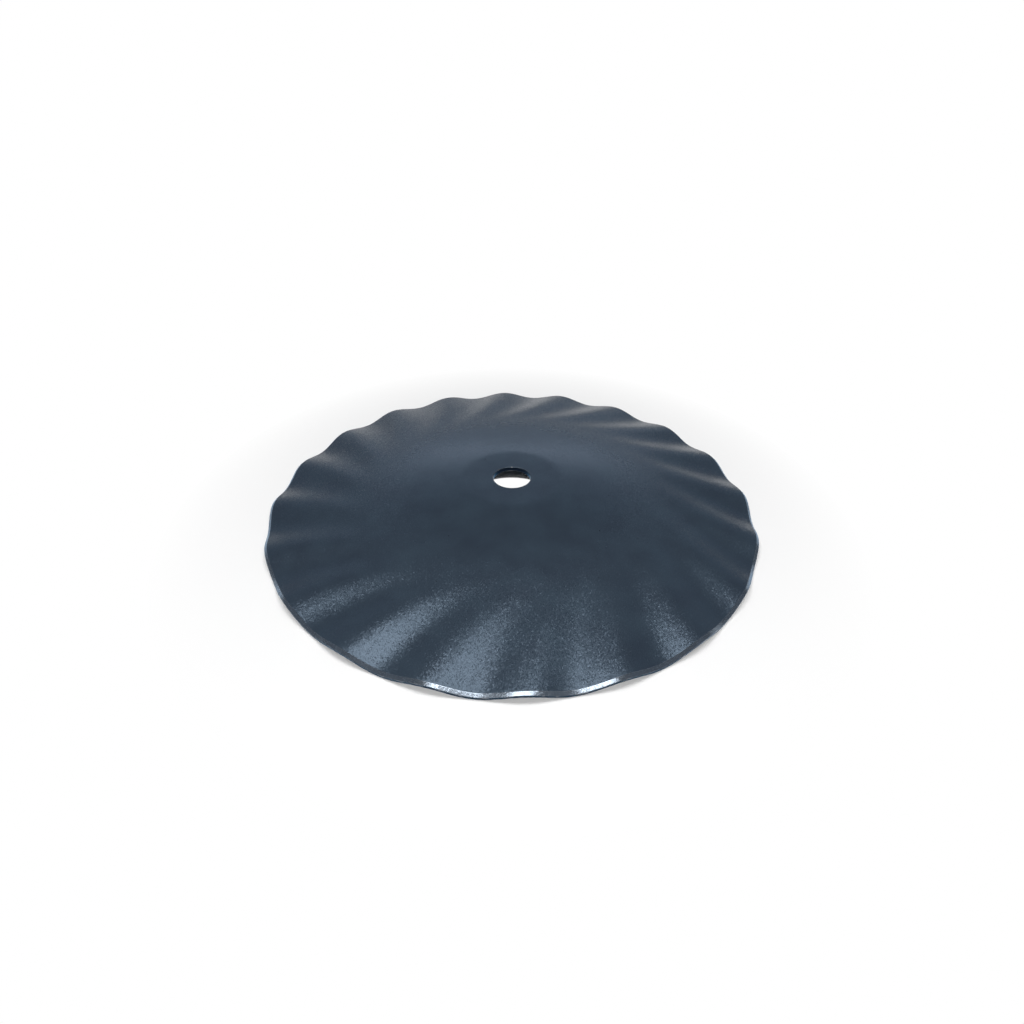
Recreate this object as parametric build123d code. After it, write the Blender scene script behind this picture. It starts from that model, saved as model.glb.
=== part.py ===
"""Harrow disc blade: one round steel plate pressed to a shallow dish with a fluted rim.

The blade lies convex side up. Z is the axis of the hole, the blade rests at z = 0 on the low
points of its rim, and one flute crest ends over +X. All lengths are in millimetres.
"""

import os
from math import acos, asin, cos, degrees, radians, sin, sqrt

from build123d import *

# Round plate and the hole punched through it
DISC_DIAMETER = 508.0  # across the rim, halfway between crests and troughs
PLATE = 5.0  # plate thickness
HOLE_DIAMETER = 39.0
HOLE_BREAK = 0.6  # edge of the hole broken on the convex side

# Dish
FLAT_DIAMETER = 93.0  # flat centre that the hub clamps
SHOULDER_RADIUS = 265.0  # bend between flat and dish
SHOULDER_SLOPE = 6.1  # degrees, where the bend runs into the dish
DISH_RADIUS = 1615.0

# Flutes
FLUTES = 20
FLUTE_HEIGHT = 6.4  # crest to trough at the rim
FLUTE_START = 288.0  # diameter where the flutes leave the plain dish
FLUTE_EASE = 24.0  # length over which a flute lifts out of the dish
FLUTE_MISS = 87.5  # distance at which the line of a flute passes the centre
FLUTE_BOW = 1.16  # degrees that the middle of a flute lies behind that line

# Rim ground on the convex side
BEVEL_WIDTH = 3.8
BEVEL_ANGLE = 30.0  # degrees between the bevel and the plate

# Fineness of the curves that carry the flutes
POINTS_PER_FLUTE = 12
EASE_STEPS = 2
RUN_STEPS = 4

FULL_TURN = 360.0
QUARTER_TURN = FULL_TURN / 4

rim_radius = DISC_DIAMETER / 2
hole_radius = HOLE_DIAMETER / 2
flat_radius = FLAT_DIAMETER / 2
flute_radius = FLUTE_START / 2

# Centres of the two bends, seen in a half section with the flat centre at height zero
shoulder_angle = radians(SHOULDER_SLOPE)
shoulder_centre = (flat_radius, -SHOULDER_RADIUS)
arc_step = DISH_RADIUS - SHOULDER_RADIUS
dish_centre = (
    shoulder_centre[0] - arc_step * sin(shoulder_angle),
    shoulder_centre[1] - arc_step * cos(shoulder_angle),
)


def dish_slope(radius):
    """Angle of the dish below level at a radius outside the shoulder."""
    return asin((radius - dish_centre[0]) / DISH_RADIUS)


def dish_height(radius):
    """Height of the convex side, before fluting, against the flat centre."""
    return dish_centre[1] + sqrt(DISH_RADIUS**2 - (radius - dish_centre[0]) ** 2)


def flute_lift(radius):
    """Half the flute height: none at the start, eased in, then growing evenly to the rim."""
    along = radius - flute_radius
    full = rim_radius - flute_radius - FLUTE_EASE / 2
    if along < FLUTE_EASE:
        rise = along**2 / (2 * FLUTE_EASE)
    else:
        rise = along - FLUTE_EASE / 2
    return FLUTE_HEIGHT / 2 * rise / full


def flute_angle(radius):
    """Angle of the first crest: a line that misses the centre, bowed a little."""
    line = acos(FLUTE_MISS / rim_radius) - acos(FLUTE_MISS / radius)
    part = (rim_radius - radius) / (rim_radius - flute_radius)
    bow = 4 * radians(FLUTE_BOW) * part * (1 - part)
    return line - bow


def ring(radius, depth):
    """Closed curve round the fluted plate, at a depth below the convex side."""
    count = FLUTES * POINTS_PER_FLUTE
    slope = dish_slope(radius)
    points = []
    for k in range(count):
        turn = radians(FULL_TURN * k / count)
        lift = flute_lift(radius) * cos(FLUTES * turn) - depth
        out = radius + lift * sin(slope)
        height = dish_height(radius) + lift * cos(slope)
        angle = flute_angle(radius) + turn
        points.append((out * cos(angle), out * sin(angle), height))
    steps = [k / count for k in range(count + 1)]
    return Wire([Edge.make_spline(points, periodic=True, parameters=steps)])


# Plain middle of the plate: one open half section, from the convex side through the hole to
# the hollow side, turned round the axis
core_slope = degrees(dish_slope(flute_radius))
dish_span = core_slope - SHOULDER_SLOPE
dish_from = QUARTER_TURN - core_slope
shoulder_from = QUARTER_TURN - SHOULDER_SLOPE
half_section = Curve() + [
    CenterArc(dish_centre, DISH_RADIUS, dish_from, dish_span),
    CenterArc(shoulder_centre, SHOULDER_RADIUS, shoulder_from, SHOULDER_SLOPE),
    Line((flat_radius, 0), (hole_radius + HOLE_BREAK, 0)),
    Line((hole_radius + HOLE_BREAK, 0), (hole_radius, -HOLE_BREAK)),
    Line((hole_radius, -HOLE_BREAK), (hole_radius, -PLATE)),
    Line((hole_radius, -PLATE), (flat_radius, -PLATE)),
    CenterArc(shoulder_centre, SHOULDER_RADIUS - PLATE, shoulder_from, SHOULDER_SLOPE),
    CenterArc(dish_centre, DISH_RADIUS - PLATE, dish_from, dish_span),
]
half_section = (Plane.XZ * half_section).rotate(Axis.Z, degrees(flute_angle(flute_radius)))
middle = Shell.revolve(half_section, FULL_TURN, Axis.Z)

# Fluted part, on both sides of the plate: the eased start, then the straight run to the rim
bevel_run = BEVEL_WIDTH * cos(radians(BEVEL_ANGLE))
bevel_drop = BEVEL_WIDTH * sin(radians(BEVEL_ANGLE))
bevel_from = rim_radius - bevel_run
run_from = flute_radius + FLUTE_EASE


def skin(start, end, steps, depth):
    """Smooth skin over evenly spaced rings, at a depth below the convex side."""
    step = (end - start) / steps
    return Shell.make_loft([ring(start + step * k, depth) for k in range(steps + 1)])


convex_start = skin(flute_radius, run_from, EASE_STEPS, 0)
convex_run = skin(run_from, bevel_from, RUN_STEPS, 0)
hollow_start = skin(flute_radius, run_from, EASE_STEPS, PLATE)
hollow_run = skin(run_from, rim_radius, RUN_STEPS, PLATE)

# Rim: the ground bevel, and the land left under it
land_top = ring(rim_radius, bevel_drop)
land_bottom = ring(rim_radius, PLATE)
bevel = Shell.make_loft([ring(bevel_from, 0), land_top], ruled=True)
land = Shell.make_loft([land_top, land_bottom], ruled=True)

# One closed plate, set down on the troughs of its rim
sides = [middle, convex_start, convex_run, bevel, land, hollow_run, hollow_start]
blade = Solid(Shell([face for side in sides for face in side.faces()]))
rim_slope = dish_slope(rim_radius)
trough = dish_height(rim_radius) - (flute_lift(rim_radius) + PLATE) * cos(rim_slope)
blade = Pos(0, 0, -trough) * blade
blade.label = "disc_blade"

os.makedirs("parts", exist_ok=True)
export_step(blade, "parts/disc_blade.step")
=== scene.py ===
"""Harrow disc blade, dressed for looks: one dished, fluted steel plate under dark satin enamel."""

from math import asin, cos, exp, pi, radians, sin, tan

import bmesh
import bpy
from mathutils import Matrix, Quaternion, Vector


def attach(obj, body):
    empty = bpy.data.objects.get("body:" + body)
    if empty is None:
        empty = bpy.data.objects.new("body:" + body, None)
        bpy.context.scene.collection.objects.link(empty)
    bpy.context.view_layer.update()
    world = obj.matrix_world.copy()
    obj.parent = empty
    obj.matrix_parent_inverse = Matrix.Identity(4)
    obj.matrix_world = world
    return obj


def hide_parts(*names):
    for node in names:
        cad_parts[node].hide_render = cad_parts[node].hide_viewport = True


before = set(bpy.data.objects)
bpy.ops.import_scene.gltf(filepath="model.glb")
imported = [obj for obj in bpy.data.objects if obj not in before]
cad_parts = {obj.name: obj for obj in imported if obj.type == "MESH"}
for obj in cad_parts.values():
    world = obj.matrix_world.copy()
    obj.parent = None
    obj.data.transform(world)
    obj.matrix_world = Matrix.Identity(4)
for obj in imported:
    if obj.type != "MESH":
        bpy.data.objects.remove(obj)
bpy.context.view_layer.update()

# ---------------------------------------------------------------- disc blade
# One round plate of hardened steel, 5 mm thick. It is pressed hot to a shallow dish with swept
# flutes round the rim, punched in the middle for the gang bolt, and its rim is ground to a
# bevel on the convex side. Nothing is fixed to it.
MM = 0.001
RIM = 254.0 * MM
PLATE = 5.0 * MM
HOLE = 19.5 * MM
FLAT = 46.5 * MM
SHOULDER_BEND = 265.0 * MM
SHOULDER_SLOPE = radians(6.1)
DISH_BEND = 1615.0 * MM
SHOULDER_SET = 0.65 * MM
SET_WITHIN = 14.0 * MM
SET_PEAK = 60.0 * MM
SET_FADE = 60.0 * MM
BEVEL_WIDTH = 3.8 * MM
BEVEL_ANGLE = radians(30.0)
FLUTES = 20
FLUTE_HEIGHT = 6.4 * MM
FLUTE_START = 144.0 * MM
FLUTE_EASE = 24.0 * MM
FLUTE_MISS = 87.5 * MM
FLUTE_BOW = radians(1.16)
STEPS_PER_FLUTE = 24

# Centres of the two bends in a half section, with the top of the flat centre at height zero
shoulder_end = FLAT + SHOULDER_BEND * sin(SHOULDER_SLOPE)
dish_x = FLAT - (DISH_BEND - SHOULDER_BEND) * sin(SHOULDER_SLOPE)
dish_z = -SHOULDER_BEND - (DISH_BEND - SHOULDER_BEND) * cos(SHOULDER_SLOPE)


def plate_slope(radius):
    """Angle of the plain plate below level."""
    if radius <= FLAT:
        return 0.0
    if radius <= shoulder_end:
        return asin((radius - FLAT) / SHOULDER_BEND)
    return asin((radius - dish_x) / DISH_BEND)


def plate_height(radius):
    """Height of the convex side of the plain plate, against the flat centre."""
    if radius <= FLAT:
        return 0.0
    # the press sets the plate down a little more at the foot of the flat, and this fades outwards
    onset = 1 - exp(-(((radius - FLAT) / SET_WITHIN) ** 2))
    fade = exp(-((max(radius - SET_PEAK, 0.0) / SET_FADE) ** 2))
    pressed_down = SHOULDER_SET * onset * fade
    if radius <= shoulder_end:
        return SHOULDER_BEND * (cos(plate_slope(radius)) - 1) - pressed_down
    return dish_z + DISH_BEND * cos(plate_slope(radius)) - pressed_down


# The outline of the half section, as radius on the convex side and depth below it. Each corner
# is rounded a little, as enamel over a punched, ground or sheared edge is.
bevel_from = RIM - BEVEL_WIDTH * cos(BEVEL_ANGLE)
bevel_drop = BEVEL_WIDTH * sin(BEVEL_ANGLE)
# radii of the stations in millimetres, closer together where the plate bends
skin = [23.0, 30.0, 38.0, FLAT / MM, *range(49, 73, 2), shoulder_end / MM, 78.0, 82.0, 88.0, 94.0]
skin += [106.0, 118.0, 128.0, 136.0, FLUTE_START / MM, 147.0, 150.0, 153.0, 156.0, 160.0, 164.0]
skin += [168.0, 174.0, *range(180, 237, 7), 242.0, 246.0]
corners = [
    # radius, depth, rounding, steps of the rounding, and the stations between it and the next
    (HOLE, 0.0, 0.7 * MM, 5, [(radius * MM, 0.0) for radius in skin]),
    (bevel_from, 0.0, 1.0 * MM, 2, [0.25, 0.5, 0.75]),
    (RIM, bevel_drop, 0.5 * MM, 3, [0.33, 0.67]),
    (RIM, PLATE, 0.35 * MM, 3, [(radius * MM, PLATE) for radius in reversed(skin)]),
    (HOLE, PLATE, 0.3 * MM, 3, [0.25, 0.5, 0.75]),
]
GRIND_START = 1  # the corner where the bevel starts, which isn't worn bare
SUPPORT = 0.3 * MM  # a short straight beside each rounding keeps its shading crisp
TINY = 0.001 * MM
outline = []
on_edge = []
for k, (radius, depth, rounding, steps, stations) in enumerate(corners):
    here = Vector((radius, depth))
    ahead = Vector(corners[(k + 1) % len(corners)][:2])
    before = (Vector(corners[k - 1][:2]) - here).normalized()
    after = (ahead - here).normalized()
    half = before.angle(after) / 2
    reach = rounding / tan(half)
    middle = here + (before + after).normalized() * (rounding / sin(half))
    start = here + before * reach - middle
    finish = here + after * reach - middle
    arc = [middle + start.slerp(finish, step / steps) * rounding for step in range(steps + 1)]
    run = [
        here.lerp(ahead, place) if isinstance(place, float) else Vector(place)
        for place in stations
    ]
    outline += [here + before * (reach + SUPPORT), *arc, here + after * (reach + SUPPORT), *run]
    on_edge += [0.0] + [float(k != GRIND_START)] * len(arc) + [0.0] * (1 + len(run))

trough = plate_height(RIM) - (FLUTE_HEIGHT / 2 + PLATE) * cos(plate_slope(RIM))
section = bpy.data.meshes.new("half_section")
section_points = []
for radius, depth in outline:
    slope = plate_slope(radius)
    height = plate_height(radius) - depth * cos(slope) - trough
    section_points.append((radius - depth * sin(slope), 0.0, height))
section.from_pydata(section_points, [(k, (k + 1) % len(outline)) for k in range(len(outline))], [])
# marks that the enamel reads: place on the plate, worn edges, ground bevel, and sheared walls
marks = {
    "plate_radius": [radius for radius, depth in outline],
    "edge": on_edge,
    "bevel": [float(0 < depth < bevel_drop and radius > bevel_from) for radius, depth in outline],
    "sheared": [
        float(
            depth > 0 and radius < HOLE + TINY
            or bevel_drop < depth < PLATE and radius > bevel_from
        )
        for radius, depth in outline
    ],
}
for name, values in marks.items():
    section.attributes.new(name, "FLOAT", "POINT").data.foreach_set("value", values)


def add(tree, kind, inputs=None, **settings):
    """Adds one node with its settings, and sets or links its inputs."""
    made = tree.nodes.new(kind)
    for name, value in settings.items():
        setattr(made, name, value)
    for name, value in (inputs or {}).items():
        if isinstance(value, bpy.types.NodeSocket):
            tree.links.new(value, made.inputs[name])
        else:
            made.inputs[name].default_value = value
    return made


# Turning the section and pressing the flutes: one tree of nodes that sweeps the section round
# the axis, lifts the rim into waves square to the plate, and sweeps the waves to one side
press = bpy.data.node_groups.new("turned_and_fluted_plate", "GeometryNodeTree")
press.interface.new_socket("Section", in_out="INPUT", socket_type="NodeSocketGeometry")
sizes = {
    "Steps": ("NodeSocketInt", FLUTES * STEPS_PER_FLUTE),
    "Flutes": ("NodeSocketInt", FLUTES),
    "Height": ("NodeSocketFloat", FLUTE_HEIGHT),
    "Rim": ("NodeSocketFloat", RIM),
    "Start": ("NodeSocketFloat", FLUTE_START),
    "Ease": ("NodeSocketFloat", FLUTE_EASE),
    "Miss": ("NodeSocketFloat", FLUTE_MISS),
    "Bow": ("NodeSocketFloat", FLUTE_BOW),
    "Bend": ("NodeSocketFloat", DISH_BEND),
    "Bend Centre": ("NodeSocketFloat", dish_x),
    "Paint": ("NodeSocketMaterial", None),
}
sockets = {}
for name, (kind, value) in sizes.items():
    sockets[name] = press.interface.new_socket(name, in_out="INPUT", socket_type=kind)
press.interface.new_socket("Plate", in_out="OUTPUT", socket_type="NodeSocketGeometry")
given = add(press, "NodeGroupInput").outputs
count = add(
    press, "GeometryNodeAttributeDomainSize", {"Geometry": given["Section"]}, component="MESH"
)
worked = {name: given[name] for name in sizes}
worked["points"] = count.outputs["Point Count"]
worked["index"] = add(press, "GeometryNodeInputIndex").outputs[0]
for name, operation, *terms in [
    # the sheet has a row more and a column more than the section and the turn need, and these
    # close its seams
    ("rows", "ADD", "points", 1),
    ("columns", "ADD", "Steps", 1),
    ("row", "MODULO", "index", "rows"),
    ("station", "MODULO", "row", "points"),
    ("whole columns", "DIVIDE", "index", "rows"),
    ("column", "FLOOR", "whole columns"),
    ("share of turn", "DIVIDE", "column", "Steps"),
    ("turn", "MULTIPLY", "share of turn", 2 * pi),
]:
    inputs = {k: worked.get(term, term) for k, term in enumerate(terms)}
    worked[name] = add(press, "ShaderNodeMath", inputs, operation=operation).outputs[0]
inputs = {"Vertices X": worked["columns"], "Vertices Y": worked["rows"]}
sheet = add(press, "GeometryNodeMeshGrid", inputs)
place = add(press, "GeometryNodeInputPosition").outputs[0]
sampled = add(
    press, "GeometryNodeSampleIndex",
    {"Geometry": given["Section"], "Value": place, "Index": worked["station"]},
    data_type="FLOAT_VECTOR", domain="POINT",
).outputs["Value"]
section_place = add(press, "ShaderNodeSeparateXYZ", {0: sampled}).outputs
worked.update({"section out": section_place["X"], "section height": section_place["Z"]})
for name in marks:
    mark = add(press, "GeometryNodeInputNamedAttribute", {"Name": name}, data_type="FLOAT")
    worked[name] = add(
        press, "GeometryNodeSampleIndex",
        {
            "Geometry": given["Section"], "Value": mark.outputs["Attribute"],
            "Index": worked["station"],
        },
        data_type="FLOAT", domain="POINT",
    ).outputs["Value"]
for name, operation, *terms in [
    # height of the wave: none at the start, eased in, then growing evenly to the rim
    ("fluted radius", "MAXIMUM", "plate_radius", "Start"),
    ("along", "SUBTRACT", "fluted radius", "Start"),
    ("eased", "MINIMUM", "along", "Ease"),
    ("eased square", "MULTIPLY", "eased", "eased"),
    ("twice ease", "MULTIPLY", "Ease", 2.0),
    ("start rise", "DIVIDE", "eased square", "twice ease"),
    ("even rise", "SUBTRACT", "along", "eased"),
    ("rise", "ADD", "start rise", "even rise"),
    ("half ease", "MULTIPLY", "Ease", 0.5),
    ("run", "SUBTRACT", "Rim", "Start"),
    ("full rise", "SUBTRACT", "run", "half ease"),
    ("share of rise", "DIVIDE", "rise", "full rise"),
    ("half height", "MULTIPLY", "Height", 0.5),
    ("crest", "MULTIPLY", "half height", "share of rise"),
    ("wave turn", "MULTIPLY", "turn", "Flutes"),
    ("wave", "COSINE", "wave turn"),
    ("lift", "MULTIPLY", "crest", "wave"),
    # the lift is square to the plate
    ("from bend centre", "SUBTRACT", "plate_radius", "Bend Centre"),
    ("sine of slope", "DIVIDE", "from bend centre", "Bend"),
    ("slope", "ARCSINE", "sine of slope"),
    ("cosine of slope", "COSINE", "slope"),
    ("lift out", "MULTIPLY", "lift", "sine of slope"),
    ("lift up", "MULTIPLY", "lift", "cosine of slope"),
    ("out", "ADD", "section out", "lift out"),
    ("height", "ADD", "section height", "lift up"),
    # sweep: each flute lies on a line that misses the centre, bowed a little
    ("rim miss", "DIVIDE", "Miss", "Rim"),
    ("rim lead", "ARCCOSINE", "rim miss"),
    ("own miss", "DIVIDE", "Miss", "fluted radius"),
    ("own lead", "ARCCOSINE", "own miss"),
    ("line", "SUBTRACT", "rim lead", "own lead"),
    ("inside rim", "SUBTRACT", "Rim", "fluted radius"),
    ("part", "DIVIDE", "inside rim", "run"),
    ("rest of part", "SUBTRACT", 1.0, "part"),
    ("bow shape", "MULTIPLY", "part", "rest of part"),
    ("four bow", "MULTIPLY", "Bow", 4.0),
    ("bow", "MULTIPLY", "bow shape", "four bow"),
    ("sweep", "SUBTRACT", "line", "bow"),
    ("angle", "ADD", "sweep", "turn"),
    ("angle cosine", "COSINE", "angle"),
    ("angle sine", "SINE", "angle"),
    ("x", "MULTIPLY", "out", "angle cosine"),
    ("y", "MULTIPLY", "out", "angle sine"),
]:
    inputs = {k: worked.get(term, term) for k, term in enumerate(terms)}
    worked[name] = add(press, "ShaderNodeMath", inputs, operation=operation).outputs[0]
inputs = {"X": worked["x"], "Y": worked["y"], "Z": worked["height"]}
pressed = add(press, "ShaderNodeCombineXYZ", inputs).outputs[0]
shape = sheet.outputs["Mesh"]
for name in marks:
    shape = add(
        press, "GeometryNodeStoreNamedAttribute",
        {"Geometry": shape, "Name": name, "Value": worked[name]},
        data_type="FLOAT", domain="POINT",
    ).outputs[0]
for kind, inputs in [
    ("GeometryNodeSetPosition", {"Position": pressed}),
    ("GeometryNodeMergeByDistance", {"Distance": TINY}),
    ("GeometryNodeRealizeInstances", {}),
    ("GeometryNodeSetMaterial", {"Material": given["Paint"]}),
]:
    shape = add(press, kind, {"Geometry": shape, **inputs}).outputs[0]
add(press, "NodeGroupOutput", {"Plate": shape})


# Satin enamel, thin over a shot-blasted plate: a dark slate blue that shows the pebble of the
# blasted steel as sparkle in the light, less so in its smoother middle. The ground bevel shows
# grey steel and ticks of the wheel, sheared walls are dark steel, made near black as painted
# shade inside the hole and along the outer edge of the rim, and edges are worn in places.
def linear(code):
    """sRGB hex to linear colour."""
    shares = [int(code[k : k + 2], 16) / 255 for k in (1, 3, 5)]
    return [s / 12.92 if s <= 0.04045 else ((s + 0.055) / 1.055) ** 2.4 for s in shares] + [1.0]


ENAMEL = "#2A333E"
ENAMEL_THIN = "#2E3944"
ENAMEL_GLEAM = "#CBE4FD"
ENAMEL_IOR = 1.5
MIDDLE_ROUGHNESS = 0.22
FLUTED_ROUGHNESS = 0.3
CLOUD_ROUGHNESS = 0.05
LEAST_ROUGHNESS = MIDDLE_ROUGHNESS - CLOUD_ROUGHNESS / 2
SMOOTH_TO, BLASTED_FROM = 95.0 * MM, 150.0 * MM
SMOOTH_SHARE = 0.25
SMOOTHED_BY_CUT = 0.6
BEVEL_ROUGHNESS = 0.26
BEVEL_METAL = 0.88
GROUND_STEEL = "#8A939D"
# dark steel of the sheared walls, darkened to near black as painted shade
SHEARED_STEEL_AND_SHADE = "#111A26"
WORN_STEEL = "#8F9194"
SPECK = "#151A20"
PEBBLE = 0.8 * MM  # the blasted pebble is finer than this, and is drawn coarser so that it shows
PEBBLE_TILT = 1.1
PLATE_WAVE = 45.0 * MM
PLATE_WAVE_DEPTH = 0.12 * MM
CLOUD = 30.0 * MM
CLOUD_STRETCH, CLOUD_SHIFT = 2.4, -0.7
WEAR_PATCH = 11.0 * MM
WEAR_STRETCH, WEAR_SHIFT, LEAST_WEAR = 14.0, -7.6, 0.06
TICK = 1.1 * MM
TICK_STRETCH, TICK_SHIFT = 0.5, 0.55
TICK_DEPTH = 0.006 * MM
SPECK_SPACING = 9.0 * MM
SPECK_RADIUS = 0.55 * MM
SPECK_CUT = 0.8  # one cell in five holds a speck
enamel = bpy.data.materials.new("satin_enamel_on_blasted_steel")
enamel.use_nodes = True
mix = enamel.node_tree
mix.nodes.clear()
spot = add(mix, "ShaderNodeTexCoord").outputs["Object"]
where = add(mix, "ShaderNodeSeparateXYZ", {0: spot}).outputs
pebble = add(mix, "ShaderNodeTexVoronoi", {"Vector": spot, "Scale": 1 / PEBBLE})
wave = add(mix, "ShaderNodeTexNoise", {"Vector": spot, "Scale": 1 / PLATE_WAVE, "Detail": 2.0})
cloud = add(mix, "ShaderNodeTexNoise", {"Vector": spot, "Scale": 1 / CLOUD, "Detail": 3.0})
inputs = {"Vector": spot, "Scale": 1 / WEAR_PATCH, "Detail": 3.0, "Roughness": 0.65}
worn = add(mix, "ShaderNodeTexNoise", inputs)
specks = add(mix, "ShaderNodeTexVoronoi", {"Vector": spot, "Scale": 1 / SPECK_SPACING})
speck_pick = add(mix, "ShaderNodeSeparateColor", {"Color": specks.outputs["Color"]}).outputs[0]
ticks = add(mix, "ShaderNodeTexNoise", {"Scale": 1.0, "Detail": 3.0}, noise_dimensions="1D")
mixed = {
    "x": where["X"], "y": where["Y"], "tick": ticks.outputs["Fac"],
    "cloud": cloud.outputs["Fac"], "worn": worn.outputs["Fac"],
    "speck distance": specks.outputs["Distance"], "speck pick": speck_pick,
}
for name in marks:
    mixed[name] = add(mix, "ShaderNodeAttribute", attribute_name=name).outputs["Fac"]
for name, operation, *terms in [
    ("angle", "ARCTAN2", "y", "x"),
    ("ticks along", "MULTIPLY", "angle", RIM / TICK),
    ("tick ridge", "MULTIPLY", "tick", "bevel"),
    # the pebble: full on the fluted part, faint in the smoother middle and where steel was cut
    ("ground or sheared", "MAXIMUM", "bevel", "sheared"),
    ("blasted", "MULTIPLY_ADD", "ground or sheared", -SMOOTHED_BY_CUT, 1.0),
    ("past smooth", "SUBTRACT", "plate_radius", SMOOTH_TO),
    ("outer stretched", "DIVIDE", "past smooth", BLASTED_FROM - SMOOTH_TO),
    ("outer top", "MINIMUM", "outer stretched", 1.0),
    ("outer", "MAXIMUM", "outer top", 0.0),
    ("coarse", "MULTIPLY_ADD", "outer", 1 - SMOOTH_SHARE, SMOOTH_SHARE),
    ("blasted coarse", "MULTIPLY", "blasted", "coarse"),
    ("pebble tilt", "MULTIPLY", "blasted coarse", PEBBLE_TILT),
    # steel: each noise is stretched and shifted, then clipped
    ("tick stretched", "MULTIPLY_ADD", "tick", TICK_STRETCH, TICK_SHIFT),
    ("tick bare", "MINIMUM", "tick stretched", 1.0),
    ("ground", "MULTIPLY", "tick bare", "bevel"),
    ("worn stretched", "MULTIPLY_ADD", "worn", WEAR_STRETCH, WEAR_SHIFT),
    ("worn top", "MINIMUM", "worn stretched", 1.0),
    ("worn bare", "MAXIMUM", "worn top", LEAST_WEAR),
    ("worn edge", "MULTIPLY", "worn bare", "edge"),
    ("bevel metal", "MULTIPLY", "bevel", BEVEL_METAL),
    ("bare", "MAXIMUM", "bevel metal", "worn edge"),
    ("metal", "MAXIMUM", "bare", "sheared"),
    # specks in the paint, and soft clouds where it is thinner
    ("speck near", "LESS_THAN", "speck distance", SPECK_RADIUS / SPECK_SPACING),
    ("speck chosen", "GREATER_THAN", "speck pick", SPECK_CUT),
    ("speck", "MULTIPLY", "speck near", "speck chosen"),
    ("cloud stretched", "MULTIPLY_ADD", "cloud", CLOUD_STRETCH, CLOUD_SHIFT),
    ("cloud top", "MINIMUM", "cloud stretched", 1.0),
    ("cloud share", "MAXIMUM", "cloud top", 0.0),
    # roughness grows from the middle to the flutes, and the ground bevel is smoother than these
    ("cloudy", "MULTIPLY_ADD", "cloud share", CLOUD_ROUGHNESS, LEAST_ROUGHNESS),
    ("fluted", "MULTIPLY_ADD", "outer", FLUTED_ROUGHNESS - MIDDLE_ROUGHNESS, "cloudy"),
    ("roughness", "MULTIPLY_ADD", "bevel", BEVEL_ROUGHNESS - FLUTED_ROUGHNESS, "fluted"),
]:
    inputs = {k: mixed.get(term, term) for k, term in enumerate(terms)}
    mixed[name] = add(mix, "ShaderNodeMath", inputs, operation=operation).outputs[0]
mix.links.new(mixed["ticks along"], ticks.inputs["W"])
tone = linear(ENAMEL)
# the sheared walls' near black is dark steel and painted shade inside the hole and on the rim's
# edge
for colour, share in [
    (ENAMEL_THIN, "cloud share"), (SPECK, "speck"), (GROUND_STEEL, "ground"),
    (SHEARED_STEEL_AND_SHADE, "sheared"), (WORN_STEEL, "worn edge"),
]:
    inputs = {"Factor": mixed[share], "A": tone, "B": linear(colour)}
    tone = add(mix, "ShaderNodeMix", inputs, data_type="RGBA").outputs["Result"]
relief = add(mix, "ShaderNodeBump", {"Height": wave.outputs["Fac"], "Distance": PLATE_WAVE_DEPTH})
inputs = {"Height": mixed["tick ridge"], "Distance": TICK_DEPTH, "Normal": relief.outputs[0]}
relief = add(mix, "ShaderNodeBump", inputs)
# each pebble leans its own way, by the random colour of its cell, cubed: most hardly, a few far
lean = {"relief": relief.outputs[0], "cell": pebble.outputs["Color"], "tilt": mixed["pebble tilt"]}
for name, operation, inputs in [
    ("even", "SUBTRACT", {0: "cell", 1: (0.5, 0.5, 0.5)}),
    ("squared", "MULTIPLY", {0: "even", 1: "even"}),
    ("cubed", "MULTIPLY", {0: "squared", 1: "even"}),
    ("leaning", "SCALE", {0: "cubed", "Scale": "tilt"}),
    ("tilted", "ADD", {0: "relief", 1: "leaning"}),
    ("normal", "NORMALIZE", {0: "tilted"}),
]:
    inputs = {socket: lean.get(value, value) for socket, value in inputs.items()}
    lean[name] = add(mix, "ShaderNodeVectorMath", inputs, operation=operation).outputs[0]
surface = add(mix, "ShaderNodeBsdfPrincipled", {
    "Base Color": tone, "Metallic": mixed["metal"], "Roughness": mixed["roughness"],
    "Normal": lean["normal"], "IOR": ENAMEL_IOR, "Specular Tint": linear(ENAMEL_GLEAM),
})
add(mix, "ShaderNodeOutputMaterial", {"Surface": surface.outputs[0]})

scene = bpy.context.scene
blade = bpy.data.objects.new("disc_blade_painted", section)
scene.collection.objects.link(blade)
pressing = blade.modifiers.new("press", "NODES")
pressing.node_group = press
for name, (kind, value) in sizes.items():
    pressing[sockets[name].identifier] = enamel if name == "Paint" else value
plain = bpy.data.meshes.new_from_object(blade.evaluated_get(bpy.context.evaluated_depsgraph_get()))
blade.modifiers.remove(pressing)
blade.data = plain
plain.name = "disc_blade_painted"
outward = bmesh.new()
outward.from_mesh(plain)
bmesh.ops.recalc_face_normals(outward, faces=outward.faces)
outward.to_mesh(plain)
outward.free()
plain.shade_smooth()
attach(blade, "root")
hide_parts("disc_blade")

# ---------------------------------------------------------------- floor and backdrop
# A studio cove: one pale matt sheet that lies flat under the blade and curves up all round. Seen
# straight or in a reflection it is white paper with the blade's shadow on it, but for a painted
# pool of light on the floor under the hole, where that shadow falls. Above its white foot the wall
# glows as painted light, a cool grey, brighter behind the blade than at its sides.
FLOOR_RADIUS = 9.0
COVE_BEND = 3.0
COVE_WALL = 9.0
COVE_SIDES = 96
cove_profile = [(0.0, 0.0), (FLOOR_RADIUS, 0.0)]
for degree in range(10, 91, 10):
    turned = radians(degree)
    cove_profile.append((FLOOR_RADIUS + COVE_BEND * sin(turned), COVE_BEND * (1 - cos(turned))))
cove_profile.append((FLOOR_RADIUS + COVE_BEND, COVE_BEND + COVE_WALL))
cove_form = bmesh.new()
profile_points = [cove_form.verts.new((x, 0.0, z)) for x, z in cove_profile]
profile_edges = [cove_form.edges.new(pair) for pair in zip(profile_points, profile_points[1:])]
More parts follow.
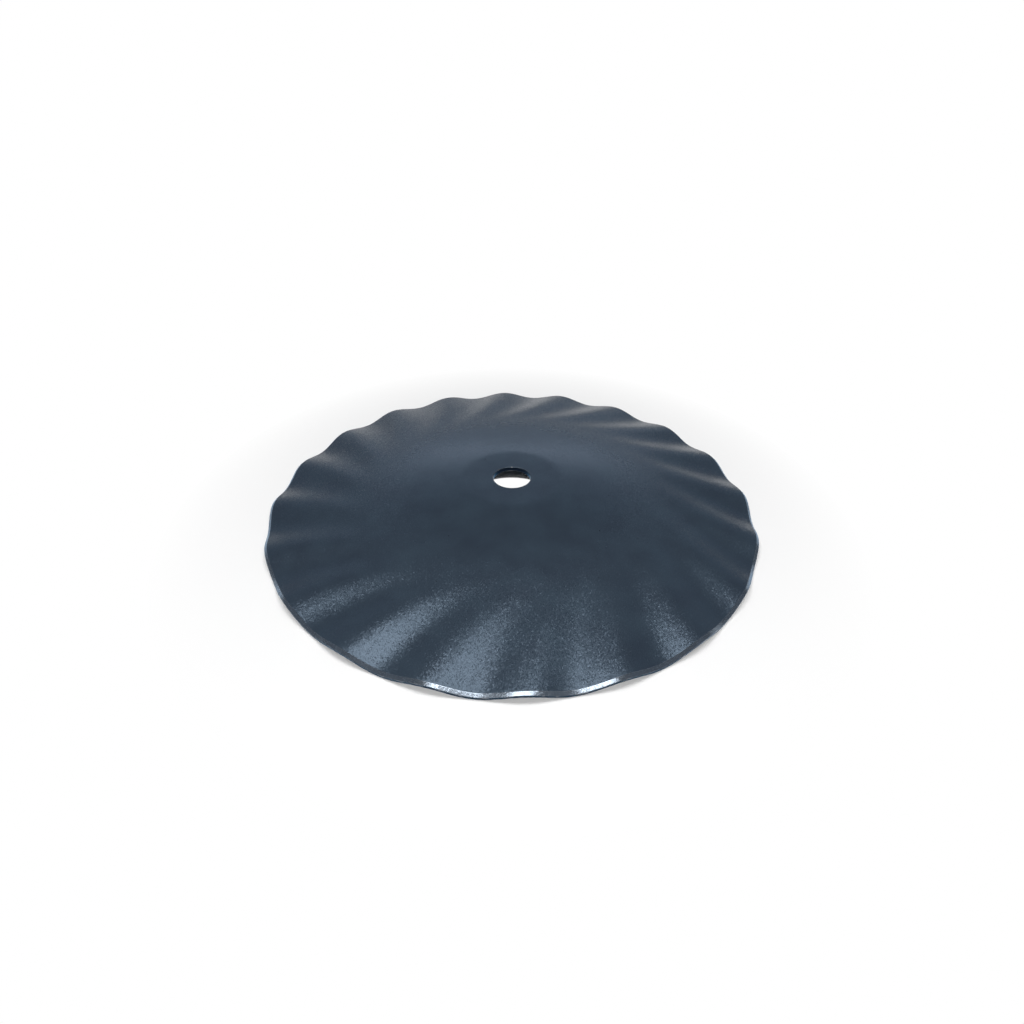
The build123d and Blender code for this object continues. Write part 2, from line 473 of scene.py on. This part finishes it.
bmesh.ops.spin(
    cove_form, geom=profile_points + profile_edges,
    cent=(0, 0, 0), axis=(0, 0, 1), angle=2 * pi, steps=COVE_SIDES,
)
bmesh.ops.remove_doubles(cove_form, verts=cove_form.verts, dist=MM)
bmesh.ops.recalc_face_normals(cove_form, faces=cove_form.faces)
cove_mesh = bpy.data.meshes.new("cove")
cove_form.to_mesh(cove_mesh)
cove_form.free()
cove_mesh.shade_smooth()
PAPER = "#F0F0F0"
# tint of the wall's painted glow
COOL_GLOW = "#D2E6FF"
CAMERA_BEARING = -92.57
# distances from the middle of the blade, in metres, where the white of the floor fades: a painted
# pool of light under the hole, where the blade's shadow falls, and the white floor round the blade
PAINTED_LIGHT_UNDER_HOLE = 0.0565, 0.058
WHITE_ROUND_BLADE = 0.23, 0.36
# heights on the wall, as sines of the angle above the floor seen from the blade, and the strengths
# of its painted glow
WHITE_WALL = 0.072, 0.1
WALL_RISE = 0.2, 0.36
WALL_TOP = 0.58, 0.64
FOOT_GLOW, WALL_GLOW, TOP_GLOW = 0.2, 0.5, 0.05
# cosines of the angle off straight behind, and the share of the painted glow that is left at the
# sides
WALL_SIDES = 0.5, 1.0
SIDE_SHARE = 0.45
paper = bpy.data.materials.new("white_paper_and_painted_glow")
paper.use_nodes = True
sheet_tree = paper.node_tree
sheet_tree.nodes.clear()
ray = add(sheet_tree, "ShaderNodeLightPath").outputs
at = add(sheet_tree, "ShaderNodeTexCoord").outputs["Object"]
behind = (-cos(radians(CAMERA_BEARING)), -sin(radians(CAMERA_BEARING)), 0.0)
from_middle = add(sheet_tree, "ShaderNodeVectorMath", {0: at}, operation="LENGTH")
backwards = add(sheet_tree, "ShaderNodeVectorMath", {0: at, 1: behind}, operation="DOT_PRODUCT")
paper_at = {
    "camera": ray["Is Camera Ray"], "glossy": ray["Is Glossy Ray"],
    "transmission": ray["Is Transmission Ray"],
    "away": from_middle.outputs["Value"], "back": backwards.outputs["Value"],
    "up": add(sheet_tree, "ShaderNodeSeparateXYZ", {0: at}).outputs["Z"],
}
for name, operation, *terms in [
    ("camera or glossy", "MAXIMUM", "camera", "glossy"),
    ("seen", "MAXIMUM", "camera or glossy", "transmission"),
    ("height", "DIVIDE", "up", "away"),
    ("turned back", "DIVIDE", "back", "away"),
    # a painted pool of white light under the hole, in the blade's shadow, white all round the
    # blade, and bare paper in its shadow elsewhere
    ("painted light in the hole", "RANGE", "away", *PAINTED_LIGHT_UNDER_HOLE, 1.0, 0.0),
    ("round the blade", "RANGE", "away", *WHITE_ROUND_BLADE, 0.0, 1.0),
    ("white", "MAXIMUM", "painted light in the hole", "round the blade"),
    ("shown", "MULTIPLY", "white", "seen"),
    # painted light, the glow of the wall: rising from its foot, less at the sides, and nearly dark
    # at its top
    ("rise", "RANGE", "height", *WALL_RISE, FOOT_GLOW, WALL_GLOW),
    ("sides", "RANGE", "turned back", *WALL_SIDES, SIDE_SHARE, 1.0),
    ("wall", "MULTIPLY", "rise", "sides"),
    ("top", "RANGE", "height", *WALL_TOP, "wall", TOP_GLOW),
    ("strength", "RANGE", "height", *WHITE_WALL, 1.0, "top"),
    ("cool", "RANGE", "height", *WHITE_WALL, 0.0, 1.0),
]:
    # a RANGE row gives a value, two limits of it, and what it becomes at these
    inputs = {k: paper_at.get(term, term) for k, term in enumerate(terms)}
    if operation == "RANGE":
        paper_at[name] = add(sheet_tree, "ShaderNodeMapRange", inputs).outputs[0]
    else:
        paper_at[name] = add(sheet_tree, "ShaderNodeMath", inputs, operation=operation).outputs[0]
# the glow that cameras and reflections see: the white floor, and painted light on the wall and
# under the hole
inputs = {"Factor": paper_at["cool"], "A": linear("#FFFFFF"), "B": linear(COOL_GLOW)}
hue = add(sheet_tree, "ShaderNodeMix", inputs, data_type="RGBA").outputs["Result"]
white = add(sheet_tree, "ShaderNodeEmission", {"Color": hue, "Strength": paper_at["strength"]})
matt = add(sheet_tree, "ShaderNodeBsdfDiffuse", {"Color": linear(PAPER)})
inputs = {0: paper_at["shown"], 1: matt.outputs[0], 2: white.outputs[0]}
both = add(sheet_tree, "ShaderNodeMixShader", inputs)
add(sheet_tree, "ShaderNodeOutputMaterial", {"Surface": both.outputs[0]})
cove_mesh.materials.append(paper)
cove = bpy.data.objects.new("cove", cove_mesh)
scene.collection.objects.link(cove)

# ---------------------------------------------------------------- light
# Soft boxes: two overhead, one over the camera, and a long pale strip low behind the blade that
# draws the arc at the back edge of its flat centre. A faint grey room lies beyond them.
ROOM_GREY = 0.05
scene.view_settings.view_transform = "Standard"
lamps = [
    # name, colour, bearing from the camera's side, elevation, distance, width, height, watts
    ("overhead_left_box", "#FFFFFF", -66.0, 76.0, 1.5, 0.55, 0.55, 9.6),
    ("overhead_right_box", "#FFFFFF", 60.0, 76.0, 1.5, 0.55, 0.55, 8.8),
    ("front_box", "#FFFFFF", 0.0, 42.0, 1.5, 0.95, 0.3, 9.0),
    ("back_strip", "#E2EEFF", 180.0, 23.0, 3.0, 2.6, 0.34, 3.2),
]
for name, colour, bearing, elevation, distance, width, height, watts in lamps:
    lamp = bpy.data.lights.new(name, "AREA")
    lamp.shape = "RECTANGLE"
    lamp.size = width
    lamp.size_y = height
    lamp.energy = watts
    lamp.color = linear(colour)[:3]
    stand = bpy.data.objects.new(name, lamp)
    scene.collection.objects.link(stand)
    around, rise = radians(CAMERA_BEARING + bearing), radians(elevation)
    towards = Vector((cos(around) * cos(rise), sin(around) * cos(rise), sin(rise)))
    stand.location = towards * distance
    stand.rotation_euler = towards.to_track_quat("Z", "Y").to_euler()
    stand.visible_camera = False
room = bpy.data.worlds.new("room")
scene.world = room
room.use_nodes = True
room.node_tree.nodes.clear()
inputs = {"Color": linear("#FFFFFF"), "Strength": ROOM_GREY}
grey = add(room.node_tree, "ShaderNodeBackground", inputs)
add(room.node_tree, "ShaderNodeOutputWorld", {"Surface": grey.outputs[0]})

# ---------------------------------------------------------------- camera
# The photograph's own viewpoint: a short lens held low over the blade, 70 cm from its middle,
# with one flute crest pointing a little to the side of it.
CAMERA_DISTANCE = 0.699
CAMERA_ELEVATION = radians(36.0)
CAMERA_ROLL = radians(0.412)
AIM_HEIGHT = 5.2 * MM
around = radians(CAMERA_BEARING)
back = Vector((
    cos(around) * cos(CAMERA_ELEVATION), sin(around) * cos(CAMERA_ELEVATION), sin(CAMERA_ELEVATION)
))
lens = bpy.data.cameras.new("camera")
lens.sensor_width = 36.0
lens.lens = 22.79
lens.shift_x = 0.0002
lens.shift_y = -0.0086
lens.clip_start = 0.01
camera = bpy.data.objects.new("camera", lens)
scene.collection.objects.link(camera)
camera.location = Vector((0, 0, AIM_HEIGHT)) + back * CAMERA_DISTANCE
camera.rotation_mode = "QUATERNION"
camera.rotation_quaternion = (-back).to_track_quat("-Z", "Y") @ Quaternion((0, 0, 1), CAMERA_ROLL)
scene.camera = camera
